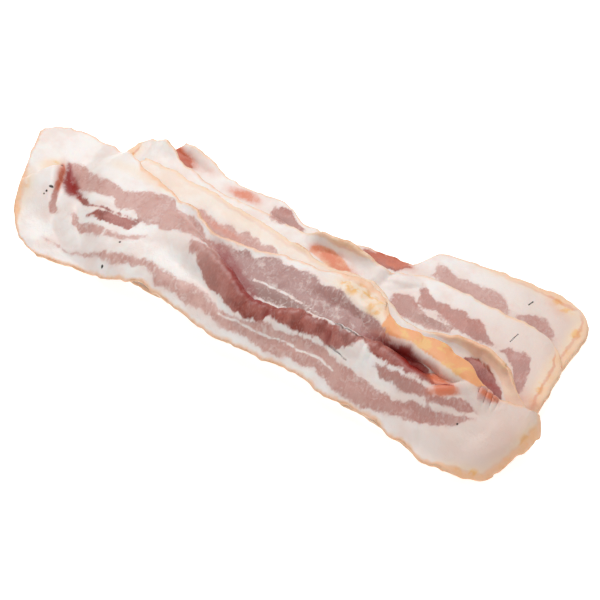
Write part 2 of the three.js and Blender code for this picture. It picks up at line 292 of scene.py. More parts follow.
third["bumps"] = [spot(18, 48, 8, 5, 0, -1.4), spot(10, 56, 3, 3, 0, 0.6), spot(37, 50, 6, 2.4, 75, 1),
                  spot(41.5, 49, 7, 1.3, 80, -1.1), spot(47, 52, 6, 1.8, 20, 0.9),
                  spot(51, 49, 7, 1.3, 35, -1.1), spot(66, 45, 8, 2.5, 0, -0.4)]
bottom["bumps"] = [spot(-60, 46, 8, 2.5, -10, -0.8), spot(-14, 47, 6, 3, 0, 0.6)]
print("bumps:", sum(len(r["bumps"]) for r in (bottom, third, second, top)))

# %% [markdown]
# Each rasher rests on what lies below it. A height map remembers the highest meat in every square
# millimetre. Before a rasher is laid, the map is widened, so that the new sheet clears every
# corner below, and averaged, so that it bends gently over edges.

# %% The height map of what already lies there
MAP_X, MAP_Y = -140, -62
COLUMNS, ROWS = 281, 125
CLEARED = 6
AVERAGED = 4
heights = np.full((COLUMNS, ROWS), -GAP)
resting = heights.copy()


def gather(grid, radius, combine):
    padded = np.pad(grid, radius, mode="edge")
    near = [padded[radius + a:radius + a + COLUMNS, radius + b:radius + b + ROWS]
            for a in range(-radius, radius + 1) for b in range(-radius, radius + 1)
            if a * a + b * b <= radius * radius]
    return combine(near, axis=0)


def remember(points):
    """Add the upper surface of a rasher to the map."""
    global heights, resting
    i = np.round(points[:, 0] - MAP_X).astype(int)
    j = np.round(points[:, 1] - MAP_Y).astype(int)
    np.maximum.at(heights, (i, j), points[:, 2])
    heights = np.maximum(heights, FLOOR_LIFT - GAP)
    resting = gather(gather(heights, CLEARED, np.max), AVERAGED, np.mean)


def resting_height(x, y):
    """The height of the prepared map at any place, blended between its four nearest squares."""
    i = np.clip(np.floor(x - MAP_X).astype(int), 0, COLUMNS - 2)
    j = np.clip(np.floor(y - MAP_Y).astype(int), 0, ROWS - 2)
    across, back = x - MAP_X - i, y - MAP_Y - j
    near = resting[i, j] * (1 - across) + resting[i + 1, j] * across
    far = resting[i, j + 1] * (1 - across) + resting[i + 1, j + 1] * across
    return near * (1 - back) + far * back


print("map of", COLUMNS, "by", ROWS, "mm")

# %% [markdown]
# The sheet starts as Blender's grid primitive. Its rows are crowded towards the edges, where the
# cut edge is rounded, and every point is then moved to its place by the slopes above. A Solidify
# modifier gives it the thickness of the cut, less at the very edge. The place of every point on
# the flat rasher is kept as an attribute, because the lean and fat are drawn on the flat meat.

# %% Lay one rasher
STEPS = 64
CROWDING = 0.62
EDGE = 1.3
EDGE_THICKNESS = 0.3
FEATHER = 7
FRONT_SHARE = 0.55
UNEVEN = 0.3
END_WANDER = 0.35
FRONT_WANDER = 0.35
REAR_WANDER = 0.3
LIP_REACH = 5


def wander(t, seed, wavelength):
    """A wavering line between about -1 and 1, the same for the same seed."""
    total = np.zeros_like(t)
    for k, share in enumerate((0.5, 0.3, 0.2)):
        stretch = wavelength / (1 + 0.83 * k)
        total += share * np.sin(2 * np.pi * (t / stretch + 0.37 * seed + 0.61 * k * seed))
    return total


def uneven(x, v, seed):
    """The gentle lumpiness of soft meat, between about -1 and 1."""
    return wander(x + 0.6 * v, seed, 31) * 0.6 + wander(0.4 * x - 1.3 * v, seed + 2, 23) * 0.4


def crowd(t):
    """Even steps from 0 to 1, drawn closer together near both ends."""
    return t - CROWDING * np.sin(2 * np.pi * t) / (2 * np.pi)


def flat_place(rasher, a, b, seed):
    """Where a grid point lies on the flat rasher: x along it and v across it."""
    v_share = crowd(b)
    left = rasher["left"](v_share) + END_WANDER * wander(b * 60, seed, 9)
    right = rasher["right"](v_share) + END_WANDER * wander(b * 60, seed + 3, 9)
    x = left + crowd(a) * (right - left)
    lip = rasher["lip"](x)
    width = rasher["width"](x) + REAR_WANDER * (wander(x, seed + 5, 13) - 1)
    v = v_share * (width + lip) - lip
    inside = np.minimum(np.minimum(v + lip, width - v), np.minimum(x - left, right - x))
    return x, v, inside


def folded_place(rasher, x, v, seed):
    """Where the flat points end up once the rasher is folded and lies on the others."""
    slopes = [fold(x) for fold in rasher["folds"]]
    y = rasher["front"](x) + FRONT_WANDER * (1 + wander(x, seed + 7, 11))
    rise = np.zeros_like(y)
    for k in range(STEPS):
        angle = sum(slope(v * (k + 0.5) / STEPS) for slope in slopes)
        y = y + np.cos(angle) * v / STEPS
        rise = rise + np.sin(angle) * v / STEPS
    puckers = sum(bump(x, v) for bump in rasher["bumps"]) + UNEVEN * (1 + uneven(x, v, seed))
    lift = np.maximum(rise + puckers * smooth(0, LIP_REACH, v + rasher["lip"](x)), 0)
    z = lift + resting_height(x, y) + GAP + THICKNESS / 2
    return np.stack([x, y, z], axis=1)


def read(data, name, size):
    values = np.empty(len(data) * size)
    data.foreach_get(name, values)
    return values.reshape(-1, size)


def attribute(mesh, name, values):
    kind = "FLOAT" if values.ndim == 1 else "FLOAT_VECTOR"
    made = mesh.attributes.new(name, kind, "POINT")
    made.data.foreach_set("value" if values.ndim == 1 else "vector", values.ravel())


def lay(rasher, seed):
    bpy.ops.object.select_all(action="DESELECT")
    cells = rasher["cells"]
    bpy.ops.mesh.primitive_grid_add(x_subdivisions=cells[0], y_subdivisions=cells[1], size=1)
    piece = bpy.context.object
    piece.name = rasher["node"].replace("rasher", "bacon")
    mesh = piece.data
    start = read(mesh.vertices, "co", 3)
    a, b = start[:, 0] + 0.5, start[:, 1] + 0.5
    x, v, inside = flat_place(rasher, a, b, seed)
    points = folded_place(rasher, x, v, seed)
    mesh.vertices.foreach_set("co", points.ravel())
    mesh.update()
    normals = read(mesh.vertex_normals, "vector", 3)
    remember(points + normals * THICKNESS / 2)

    attribute(mesh, "flat", np.stack([x, v, inside], axis=1))
    shift = np.array([SHIFT_X, SHIFT_Y, 0])
    mesh.vertices.foreach_set("co", ((points + shift) * MM).ravel())

    edge = piece.vertex_groups.new(name="thickness")
    share = np.sqrt(np.clip(1 - (1 - np.clip(inside / EDGE, 0, 1)) ** 2, 0, 1))
    share = share * (FRONT_SHARE + (1 - FRONT_SHARE) * smooth(0, FEATHER, v))
    share = EDGE_THICKNESS + (1 - EDGE_THICKNESS) * share
    for index, weight in enumerate(share):
        edge.add([index], float(weight), "REPLACE")
    solid = piece.modifiers.new("cut", "SOLIDIFY")
    solid.thickness = THICKNESS * MM
    solid.offset = 0
    solid.vertex_group = edge.name
    bpy.ops.object.modifier_apply(modifier=solid.name)
    piece.vertex_groups.clear()
    bpy.ops.object.shade_smooth()
    print(piece.name, len(mesh.polygons), "faces, up to", round(points[:, 2].max(), 1), "mm high")
    return piece


pieces = {}
for seed, rasher in enumerate((bottom, third, second, top)):
    pieces[rasher["node"]] = lay(rasher, seed + 1)

# %% [markdown]
# Streaky bacon is layers of muscle between layers of fat. Each streak is drawn on the flat rasher
# between an upper and a lower line, and the attribute "lean" says how many millimetres a point is
# inside the nearest streak, or outside it as a negative number. Thin lines of fat cut into them. The
# shader later frays that edge. A second attribute, "red", says how dark that muscle is: 0 is pale
# mauve, 1 a deep red brown. "rind" is the same kind of depth for the orange strips of smoked rim and
# for the orange hollow under the curl of the third rasher, and "dark" for two thin crevices, whose
# dark colour is painted shade.

# %% Streaks of lean
END_TAPER = 0.7


def streak(upper, lower, red=0.5):
    """A streak between two lines; red may change along it."""
    first = max(upper[0][0], lower[0][0])
    last = min(upper[-1][0], lower[-1][0])
    above, below = along(*upper), along(*lower)
    redness = along(*red) if isinstance(red, list) else lambda x: np.full_like(x, red)

    def inside(x, v):
        across = np.minimum(above(x) - v, v - below(x))
        return np.minimum(across, np.minimum(x - first, last - x) * END_TAPER)
    return inside, redness


top_streaks = [
    streak([(-107, 46.5), (-103, 49), (-99, 49), (-96, 47), (-92, 44.5), (-88, 42.3), (-84, 40),
            (-78, 38.5), (-74, 36.5), (-70, 36.5), (-66, 38), (-62, 40), (-56, 41.3), (-50, 41),
            (-48, 37.5), (-44, 36), (-39, 37.8), (-34, 38.5), (-30, 37)],
           [(-107, 45.5), (-103, 42.5), (-99, 38.5), (-95, 35), (-90, 34), (-84, 32.5),
            (-76, 30.5), (-73, 30.3), (-71, 27.5), (-68, 26.8), (-65, 27.6), (-61, 27.4),
            (-58, 25.5), (-54, 24.5), (-50, 26), (-47, 24), (-44, 23.5), (-41, 25.8),
            (-36, 27.3), (-30, 27.8)], 0.29),
    streak([(-31, 37), (-24, 39.5), (-18, 41.5), (-14, 43), (-10, 44.5), (-7, 43.3), (-4, 46),
            (0, 48.5), (4, 47), (10, 46.5), (16, 47), (20, 45.5), (24, 43), (30, 44), (36, 42.5),
            (40, 41), (46, 41), (52, 39.5), (56, 37.3), (61, 36)],
           [(-31, 28), (-16, 27.5), (0, 27), (8, 26.5), (16, 27), (24, 29), (36, 27), (46, 28),
            (56, 31), (61, 34)], [(-31, 0.3), (-12, 0.06), (61, 0.04)]),
    streak([(-31, 26.5), (-28, 27.3), (-20, 30), (-10, 29), (-2, 26), (6, 22), (12, 21.5),
            (20, 23), (24, 22.5), (30, 21), (36, 20.7), (41, 21.7), (46, 23.2), (52, 25.8),
            (58, 29), (66, 31), (74, 31), (80, 28), (84, 24)],
           [(-31, 23.5), (-29, 22.8), (-26, 23.5), (-25, 22), (-23, 19.5), (-20, 17), (-16, 14.6),
            (-12, 13.6), (-8, 13.6), (-4, 12), (0, 10.6), (9, 10), (12, 11), (14, 13), (18, 13.6),
            (26, 13.3), (30, 14), (40, 14.2), (44, 16), (48, 19.5), (51, 22.4), (53, 23),
            (56, 21.6), (60, 20.6), (66, 20.1), (78, 20.3), (82, 21), (84, 22)],
           # Paler at the left end, where the long fold's left lobe rises: painted highlight.
           [(-31, 0.36), (-20, 0.5), (-5, 0.64), (8, 0.85), (24, 0.82), (48, 0.62), (60, 0.8),
            (84, 0.75)]),
    streak([(60, 18.6), (66, 19), (72, 18.6), (80, 19.1), (86, 20.2), (90, 22.3), (94, 25),
            (98, 27), (102.5, 25.5)],
           [(60, 17.6), (64, 14.6), (68, 15), (72, 13.6), (76, 14.2), (82, 16.3), (88, 18.2),
            (94, 20.6), (99, 22), (102.5, 24.5)], 0.45),
    streak([(-93, 7.9), (-84, 6.5), (-80, 5.3), (-70, 5.7), (-62, 6.6), (-52, 8.5), (-46, 8),
            (-40, 8.3), (-36, 9.5), (-30, 9.5), (-26, 10.5), (-20, 11.5), (-14, 10.8),
            (-6, 8.7), (4, 8.8), (10, 10.5), (16, 11.6), (20, 11.2), (28, 12.5), (44, 12),
            (50, 12.2), (56, 11.5), (66, 10), (72, 10), (76, 11), (80, 13.5), (86, 15.3),
            (90, 17), (95, 19), (103, 22.5)],
           [(-93, 7.4), (-84, 5.8), (-80, 4.6), (-70, 4.8), (-62, 4.4), (-56, 2.8), (-50, 5),
            (-40, 4.7), (-36, 2.8), (-32, 3.5), (-26, 4.5), (-20, 3), (-14, 4.5), (-8, 4),
            (0, 2.8), (8, 3.5), (14, 2.1), (24, 1.6), (28, 3.5), (33, 1.7), (38, 3), (50, 2),
            (60, 1.6), (70, 3), (76, 5), (80, 6.2), (86, 9), (92, 12.5), (97, 16), (103, 21.5)],
           [(-93, 0.18), (0, 0.2), (50, 0.3), (80, 0.42), (103, 0.35)]),
    streak([(-97, 35.5), (-92, 32.3), (-88, 30.7), (-84, 29), (-81, 26.6), (-76, 25.3), (-70, 24.7),
            (-64, 24.7), (-58, 25.3)],
           [(-97, 34), (-92, 30.5), (-88, 28.5), (-84, 26), (-81, 25.6), (-76, 24.4), (-70, 23.9),
            (-64, 23.8), (-58, 24.3)], 0.65),
    streak([(-79, 21.7), (-76, 23), (-70, 23.4), (-64, 23.6), (-60, 24.4), (-58, 23)],
           [(-79, 20.8), (-74, 19), (-70, 18.8), (-62, 18.3), (-59, 19), (-58, 21.5)], 0.72),
    streak([(-88, 22.5), (-84, 20.5), (-80, 18), (-75, 17), (-70, 16), (-66, 14.8), (-60, 15.2),
            (-56, 17), (-51, 19)],
           [(-88, 20.5), (-84, 16.5), (-80, 14), (-74, 12.8), (-69, 12.5), (-62, 13), (-58, 14),
            (-53, 16.5), (-51, 18.5)], 0.25),
    streak([(-108, 44), (-105, 39), (-102, 32), (-99, 26), (-96, 22.5), (-94, 21.5)],
           [(-108, 43), (-105, 35.5), (-102, 28), (-99.5, 22), (-97, 19), (-94, 20.5)], 0.4),
    streak([(98, 33.3), (101, 34.8), (104, 34.5), (107.5, 34)],
           [(98, 32), (101, 30), (104, 29.8), (107.5, 32)], 0.35),
]
second_streaks = [
    streak([(-46, 40), (-38, 42), (-31, 42), (-28, 42.7), (-24.5, 44.5), (-21, 42.6), (-18, 46),
            (-15, 44.6), (-13, 46), (-10, 44), (-6, 46), (-3, 44.5), (0, 43)],
           [(-46, 33), (0, 33)], 0.3),
    streak([(-60, 22), (0, 25), (86, 30)], [(-60, 18), (86, 18)], 0.7),
    streak([(86, 43), (89, 47), (93, 47.5), (98, 47), (101, 45), (104, 41), (107, 37), (112, 25)],
           [(86, 30), (112, 18)], 0.75),
    streak([(-70, 9), (0, 12), (100, 10)], [(-70, 5), (0, 4.5), (100, 6)], 0.3),
]
third_streaks = [
    streak([(56, 54.3), (58, 53.3), (61, 51), (64, 49), (72, 49.6), (76, 49.6), (79, 47.8),
            (82, 48.6), (85, 47.4), (88, 44.5), (94, 40.3)],
           [(56, 50), (57.5, 46.8), (60, 44), (66, 44.3), (70, 43), (77, 40), (84, 39), (94, 39.5)],
           0.5),
    streak([(48, 45), (52, 47), (56, 46.5), (60, 43)], [(48, 38), (54, 35), (60, 36)], 0.45),
    streak([(57, 42.4), (62, 42), (68, 42), (76, 40)], [(57, 36), (62, 35), (76, 36.5)], 0.3),
    streak([(97, 40), (99, 41.8), (105, 42.2), (108, 41), (110, 36.5), (111.5, 32), (112, 27)],
           [(97, 38), (103, 35), (112, 20)], 0.5),
    streak([(-60, 20), (0, 24), (49, 34), (60, 34)], [(-60, 14), (0, 14), (60, 20)], 0.4),
    streak([(-17, 55.6), (-14, 57), (-6.5, 57)], [(-17, 55), (-11.5, 53.4), (-6.5, 55.5)], 0.45),
]
bottom_streaks = [
    streak([(55.5, 53.8), (60, 53.3), (64, 51.8), (68, 51), (78, 51.2), (84, 51), (88, 47.7),
            (91, 44)], [(55.5, 47), (64, 43), (91, 41)], 0.32),
    streak([(94, 44), (98, 46), (102, 47), (106, 46.5), (110, 43), (112, 40)],
           [(94, 42), (112, 34)], 0.4),
    # Full red at the left tip is partly the lean's own colour and partly painted shade beside the third
    # rasher's edge.
    streak([(-71, 48.7), (-66, 47.2), (-62, 46.2), (-59.5, 43.5)], [(-71, 40), (-59.5, 40)], 1.0),
    streak([(25, 47.5), (30, 48.2), (36, 49), (44, 48.6), (47.5, 47.5)],
           [(25, 40), (42, 43), (47.5, 47)], 0.9),
    streak([(-17.5, 48), (-15, 50.5), (-12, 51.2), (-9, 49.5), (-6, 47), (-1, 45.5)],
           [(-17.5, 43), (-1, 42)], 0.5),
    streak([(-70, 24), (40, 26), (100, 22)], [(-70, 12), (40, 14), (100, 14)], 0.4),
]
streaks = {"rasher_top": top_streaks, "rasher_second": second_streaks,
           "rasher_third": third_streaks, "rasher_bottom": bottom_streaks}

fat_lines = {
    "rasher_top": [
        streak([(-2, 34.3), (8, 34.3), (16, 33.3), (22, 32.3), (30, 30.7)],
               [(-2, 33.6), (8, 33.3), (16, 32.2), (22, 31.4), (30, 30.3)]),
        streak([(-6, 7.3), (4, 8), (14, 7.2), (22, 8.4), (31, 7.4), (46, 8)],
               [(-6, 6.7), (4, 7.2), (14, 6.5), (22, 7.5), (31, 6.7), (46, 7.4)]),
        streak([(-68.2, 17), (-67, 17)], [(-68.2, 12), (-67, 12)])],
    "rasher_third": [
        streak([(59, 41), (64, 41.6), (72, 41)], [(59, 40.3), (64, 40.8), (72, 40.3)])],
}

# Two thin crevices beside the long fold, darkened as painted shade.
crevice_shade_lines = {
    "rasher_top": [
        streak([(23, 25.2), (32, 25.1), (40, 22.8), (51, 24.4)],
               [(23, 24.7), (32, 24.3), (40, 22), (51, 24)]),
        streak([(40, 15.1), (44, 15), (48.6, 14.4)], [(40, 14.6), (44, 14.4), (48.6, 14)])],
}

rinds = {
    "rasher_top": [streak([(54, 60), (103, 60)],
                          [(54, 35), (60, 36.7), (68, 38), (80, 37), (86, 36), (90, 33.7),
                           (94, 32.2), (98, 32.7), (103, 33.8)])],
    "rasher_second": [streak([(72, 60), (116, 60)],
                             [(72, 43.5), (82, 46.5), (88, 47.7), (93, 48.3), (98, 47.9),
                              (102, 45.6), (105, 41.6), (108, 37), (116, 28)])],
    "rasher_third": [streak([(7, 50.5), (11, 53), (16, 53.4), (21, 51), (27, 47.5)],
                            [(7, 47), (27, 42)])],
}
print("streaks:", {name: len(of) for name, of in streaks.items()})

# %% [markdown]
# Where folded meat is shut away, in hollows, crevices and under raised rims, its darker colour is
# painted shade. Smoke and age turn fat cream, yellow or orange in places. Such places are soft ovals
# on the flat rasher, and the shader breaks their edges. There are four kinds: deep red for the
# hollows, which is partly the muscle's own red and partly painted shade; orange-pink; grey lean,
# which is painted shade behind the long fold and under raised rims; and cream for the yellowed fat.

# %% Stains and painted shade
stains_and_shade = {
    "rasher_top": {
        # Deep red in the pits, the pocket and the valleys beside the long fold: partly the muscle's own
        # red, partly painted shade.
        "blood": [spot(-99, 36.8, 9.5, 4, -50, 1), spot(-104, 43, 5, 1.6, -55, 0.8),
                  spot(-93, 33, 8, 2.8, -35, 0.75), spot(-103, 33, 9, 1, -65, 0.35),
                  spot(-14, 34, 15, 5, -25, 0.75), spot(-10, 26, 18, 3.2, -26, 0.9),
                  spot(6, 21, 12, 3, 0, 0.45), spot(72.5, 25.3, 8, 4.6, -5, 1),
                  spot(65, 31, 9, 4, -10, 0.9), spot(68.5, 34, 7, 3.6, 5, 0.9),
                  spot(4, 18, 7, 2.2, -10, 0.7), spot(-1, 24, 8, 4, -40, 0.45),
                  spot(-1, 28, 6, 3.5, -30, 0.5), spot(13.5, 15.5, 5, 1.4, 62, 0.5),
                  spot(38, 17, 4, 1.6, 100, 0.5), spot(18, 17, 3, 2, 80, 0.3),
                  spot(86.5, 24.6, 5, 0.8, 30, 0.85), spot(52, 32, 9, 2.5, 15, 0.45)],
        "salmon": [spot(-104.5, 37, 10, 2, -65, 0.8), spot(84.5, 27, 7, 4, 30, 0.95),
                   spot(88, 23.4, 7, 2.2, 38, 0.95), spot(80, 34, 9, 3, -8, 0.6),
                   spot(103.5, 32.5, 5, 2, 0, 0.8), spot(60, 36, 9, 2.2, 10, 0.5),
                   spot(19, 17, 5, 2.6, 0, 0.2), spot(116, 17, 9, 11, 0, 0.2)],
        "cream": [spot(36, 48, 10, 6, 0, 1), spot(50, 45, 9, 7, -30, 0.85), spot(72, 44, 20, 6, 0, 1),
                  spot(90, 40, 9, 6, -30, 1), spot(-112, 41, 5, 4, 55, 0.9),
                  spot(-115, 26, 5, 9, 30, 0.7), spot(-112, 14, 4, 8, 25, 0.8),
                  spot(-70, 47, 20, 3, -8, 0.5), spot(123.5, 21, 4.4, 14, -10, 1),
                  spot(110, 2.5, 12, 4, 14, 1), spot(119, 9, 8, 4.5, 60, 0.9)],
        # Painted shade: the lean behind the long fold is greyed where the fold shades it.
        "dusk": [spot(10, 29, 18, 4, 0, 0.85)],
    },
    "rasher_second": {
        # Painted shade: the lean in front of this rasher's raised rim, under the top rasher's rim, is
        # darkened to deep red.
        "blood": [spot(102.5, 40, 5, 3, -50, 0.6), spot(96, 41, 6, 3, -40, 0.4)],
        "salmon": [spot(-28, 40, 14, 2.5, 0, 0.5), spot(92, 49, 15, 3.5, -10, 0.35)],
        "cream": [spot(-55, 50, 40, 9, 0, 0.35), spot(10, 50, 50, 6, 0, 0.45),
                  spot(100, 50, 20, 6, 0, 0.4)],
        "dusk": [],
    },
    "rasher_third": {
        "blood": [],
        "salmon": [spot(14, 50, 9, 4, 0, 0.85), spot(23, 46, 8, 3.5, 0, 0.75),
                   spot(38, 50, 14, 8, 0, 0.2), spot(74, 46, 20, 7, 0, 0.25),
                   spot(116, 22, 5, 6, 60, 0.4), spot(-44, 57.5, 16, 1, 0, 0.35)],
        "cream": [spot(-87, 50, 4, 7, 0, 0.95), spot(20, 57, 12, 3, 0, 0.6),
                  spot(118, 36, 4, 20, 0, 0.9), spot(98, 58, 12, 3, 0, 0.5)],
        # Painted shade: lean greyed just behind the raised rims above it.
        "dusk": [spot(67, 39, 9, 2.5, 0, 0.5)],
    },
    "rasher_bottom": {
        # Deep red here is partly the lean's own red and partly painted shade beside the third rasher's
        # edge.
        "blood": [spot(-65, 45.5, 9, 4, -15, 0.45), spot(35, 47, 12, 3.2, 3, 0.4)],
        "salmon": [spot(-66, 46, 9, 4, -15, 0.95), spot(-32, 45, 9, 3.4, 12, 0.85),
                   spot(-52, 46, 6, 4, 0, 0.35), spot(37, 47, 12, 4, 0, 0.85),
                   spot(106, 55, 9, 3, -30, 0.35)],
        "cream": [spot(118.5, 40, 3.5, 18, 0, 0.9), spot(96, 60, 26, 3, 0, 0.6),
                  spot(108, 57, 9, 4, -25, 0.9)],
        "dusk": [],
    },
}
print("stains:", sum(len(spots) for of in stains_and_shade.values() for spots in of.values()))

# %% [markdown]
# Lines and ovals become attributes: one number for every point of the mesh, worked out from its
# place on the flat rasher. The shader reads them by name, and they stay on the meat however it is
# folded. The redness of neighbouring streaks is blended, with most weight on the nearest.

# %% Dress the pieces
FAR_OUTSIDE = -20
RED_BLEND = 1.2
FAT_LINE_SHARPNESS = 2


def combined(spots, x, v):
    """Overlapping soft ovals, coloured marks and painted shade alike, add up but never past 1."""
    total = np.zeros_like(x)
    for at in spots:
        total = 1 - (1 - total) * (1 - at(x, v))
    return total


def deepest(regions, x, v):
    """How far each point is inside the nearest region, far outside when there is none."""
    depths = [inside(x, v) for inside, _ in regions]
    return np.max([np.full_like(x, FAR_OUTSIDE), *depths], axis=0)


def dress(rasher):
    name = rasher["node"]
    piece = pieces[name]
    mesh = piece.data
    flat = read(mesh.attributes["flat"].data, "vector", 3)
    x, v = flat[:, 0], flat[:, 1]
    fat_line = deepest(fat_lines.get(name, []), x, v) * FAT_LINE_SHARPNESS
    lean = np.minimum(deepest(streaks[name], x, v), -fat_line)
    pulls = [np.exp(np.clip(inside(x, v), -12, 6) / RED_BLEND) for inside, _ in streaks[name]]
    reds = [redness(x) for _, redness in streaks[name]]
    attribute(mesh, "lean", lean)
    attribute(mesh, "red", sum(p * r for p, r in zip(pulls, reds)) / sum(pulls))
    attribute(mesh, "rind", deepest(rinds.get(name, []), x, v))
    attribute(mesh, "dark", deepest(crevice_shade_lines.get(name, []), x, v))
    for overlay, spots in stains_and_shade[name].items():
        attribute(mesh, overlay, combined(spots, x, v))
    print(piece.name, "is lean over", round(float((lean > 0).mean()) * 100), "%")


for rasher in (bottom, third, second, top):
    dress(rasher)

# %% [markdown]
# Shader maths reads best as plain sums, so a small class wraps a socket and adds Math nodes for
# the operators. Any other node comes from one method.

# %% A small language for shaders
class Wire:
    def __init__(self, graph, socket):
        self.graph = graph
        self.socket = socket

    def math(self, operation, *others):
        return self.graph.node("ShaderNodeMath", {0: self, **dict(enumerate(others, 1))},
                               operation=operation)

    def __add__(self, other):
        return self.math("ADD", other)

    def __radd__(self, other):
        return self.math("ADD", other)

    def __sub__(self, other):
        return self.math("SUBTRACT", other)

    def __rsub__(self, other):
        return self.graph.node("ShaderNodeMath", {0: other, 1: self}, operation="SUBTRACT")

    def __mul__(self, other):
        return self.math("MULTIPLY", other)

    def ease(self, low, high):
        """0 below low, 1 above high."""
        return self.graph.node("ShaderNodeMapRange", {"Value": self, "From Min": low,
                               "From Max": high}, interpolation_type="SMOOTHSTEP")


class Graph:
    def __init__(self, name):
        self.material = bpy.data.materials.new(name)
        self.material.use_nodes = True
        self.tree = self.material.node_tree
        self.shader = self.tree.nodes["Principled BSDF"]

    def node(self, kind, inputs=None, output=0, **settings):
        made = self.tree.nodes.new(kind)
        for name, value in settings.items():
            setattr(made, name, value)
        for place, value in (inputs or {}).items():
            self.feed(made.inputs[place], value)
        return Wire(self, made.outputs[output])

    def feed(self, socket, value):
        if isinstance(value, Wire):
            self.tree.links.new(value.socket, socket)
        else:
            socket.default_value = value

    def mix(self, share, first, second):
        """Blend two colours."""
        made = self.tree.nodes.new("ShaderNodeMix")
        made.data_type = "RGBA"
        self.feed(made.inputs[0], share)
        self.feed(made.inputs[6], first)
        self.feed(made.inputs[7], second)
        return Wire(self, made.outputs[2])

    def value(self, name):
        return self.node("ShaderNodeAttribute", output="Fac", attribute_name=name)

    def noise(self, vector, scale, detail, roughness):
        return self.node("ShaderNodeTexNoise", {"Vector": vector, "Scale": scale,
                         "Detail": detail, "Roughness": roughness})

    def noise_colour(self, vector, scale):
        return self.node("ShaderNodeTexNoise", {"Vector": vector, "Scale": scale}, output="Color")


def tone(red, green, blue):
    """A colour given as on a screen, 0 to 255, in the linear values that shaders use."""
    linear = [((c / 255 + 0.055) / 1.055) ** 2.4 if c > 10 else c / 255 / 12.92
              for c in (red, green, blue)]
    return (*linear, 1.0)


print("a grey of 128 on the screen is", round(tone(128, 128, 128)[0], 2))

# %% [markdown]
# Raw bacon has few colours: off-white fat that turns pinkish near the lean, mauve to brown-red
# muscle, and cream, yellow and orange where it was smoked. The reaches say by how many millimetres
# the border of the lean is frayed, and the net is the web of fat between muscle bundles.

# %% Palette
FAT = tone(238, 232, 228)
FAT_PINK = tone(233, 218, 211)
# Painted shade: fat darker and warmer towards the right end, where less light falls.
FAT_SHADED = tone(221, 195, 182)
CREAM = tone(238, 212, 184)
YELLOW = tone(236, 186, 122)
ORANGE = tone(236, 167, 116)
TAN = tone(208, 158, 116)
MAUVE = tone(211, 171, 161)
MAUVE_DARK = tone(194, 146, 136)
LILAC = tone(169, 126, 120)
BROWN_RED = tone(168, 98, 87)
BROWN_DARK = tone(138, 65, 54)
# Deep red of the darkest muscle, also laid on as painted shade in hollows and pockets.
DEEP_RED = tone(140, 22, 13)
SALMON = tone(214, 112, 70)
# Painted shade: grey for lean that lies behind folds and under raised rims.
SHADED_LEAN = tone(134, 88, 76)
# Painted shade for the two thin crevices.
CREVICE_SHADE = tone(84, 54, 48)
PEPPER = tone(58, 46, 40)
LOBE_REACH = 3.6
FIBRE_REACH = 2.2
NET_BEND = 4.5
NET_CELLS = 0.36
FAT_SHADE_FROM, FAT_SHADE_TO = 55.0, 125.0
print("fat is", [round(c, 2) for c in FAT[:3]])

# %% [markdown]
# The patterns are noises on the flat place, so they follow the meat round its folds. Two of them are
# stretched across the rasher, the way in which the fibres of the muscle run.

# %% Patterns on the flat meat
ATTRIBUTES = ("lean", "red", "rind", "dark", "blood", "salmon", "cream", "dusk")


def patterns(g):
    """Every attribute and noise that the finish is mixed from, by name."""
    place = g.node("ShaderNodeAttribute", output="Vector", attribute_name="flat")
    sheet = g.node("ShaderNodeVectorMath", {0: place, 1: (1, 1, 0)}, operation="MULTIPLY")
    fibres = g.node("ShaderNodeMapping", {"Vector": sheet, "Rotation": (0, 0, 0.3),
                    "Scale": (1.0, 0.35, 1)})
    return types.SimpleNamespace(
        sheet=sheet,
        lengthwise=g.node("ShaderNodeSeparateXYZ", {0: place}, output="X"),
        rim=g.node("ShaderNodeSeparateXYZ", {0: place}, output="Z"),
        lobes=g.noise(sheet, 0.3, 2, 0.5),
        fray=g.noise(fibres, 0.9, 2, 0.5),
        grain=g.noise(fibres, 2.0, 3, 0.6),
        cloud=g.noise(sheet, 0.07, 3, 0.6),
        blotch=g.noise(sheet, 0.16, 3, 0.6),
        **{name: g.value(name) for name in ATTRIBUTES})


print("attributes:", ATTRIBUTES)

# %% [markdown]
# Lean is muscle in bundles. The net between the bundles could be painted, but a cell pattern whose
# walls are fat gives it at any size, once its cells are bent by a noise so that they aren't round.
# Pale muscle is mottled and takes a little fat at its border, and dark muscle is red brown.

# %% The lean
def fat_net(g, p):
    """How much of the fatty web between muscle bundles shows."""
    bent = g.node("ShaderNodeVectorMath", {0: g.noise_colour(p.sheet, 0.45),
                  1: (NET_BEND, NET_BEND, 0), 2: p.sheet}, operation="MULTIPLY_ADD")
    bundles = g.node("ShaderNodeTexVoronoi", {"Vector": bent, "Scale": NET_CELLS},
                     output="Distance", feature="DISTANCE_TO_EDGE")
    walls = 1 - bundles.ease(0.0, 0.2)
    return walls * p.blotch.ease(0.4, 0.6) * p.fray.ease(0.35, 0.6) * (1 - p.red.ease(0.0, 0.8))


def lean_colour(g, p, net):
    pale = g.mix(p.blotch.ease(0.35, 0.65), MAUVE, MAUVE_DARK)
    grey = g.mix(p.blotch.ease(0.1, 0.4), MAUVE, LILAC)
    pale = g.mix(1 - p.red.ease(0.05, 0.2), pale, grey)
    pale = g.mix(p.fray.ease(0.5, 0.7) * (1 - p.lean.ease(0.8, 3.0)) * 0.45, pale, FAT_PINK)
    pale = g.mix(p.blotch.ease(0.54, 0.74) * 0.4, pale, FAT_PINK)
    dark_meat = g.mix(p.blotch.ease(0.36, 0.6), BROWN_DARK, BROWN_RED)
    meat = g.mix(p.red.ease(0.15, 0.8), pale, dark_meat)
    meat = g.mix((p.grain - 0.5).ease(-0.05, 0.25) * 0.22, meat, MAUVE)
    # Painted shade: lean greyed where folds and raised rims shade it.
    meat = g.mix(p.dusk, meat, SHADED_LEAN)
    return g.mix(net * 0.42, meat, FAT_PINK)


print("net cells are about", round(1 / NET_CELLS, 1), "mm wide")
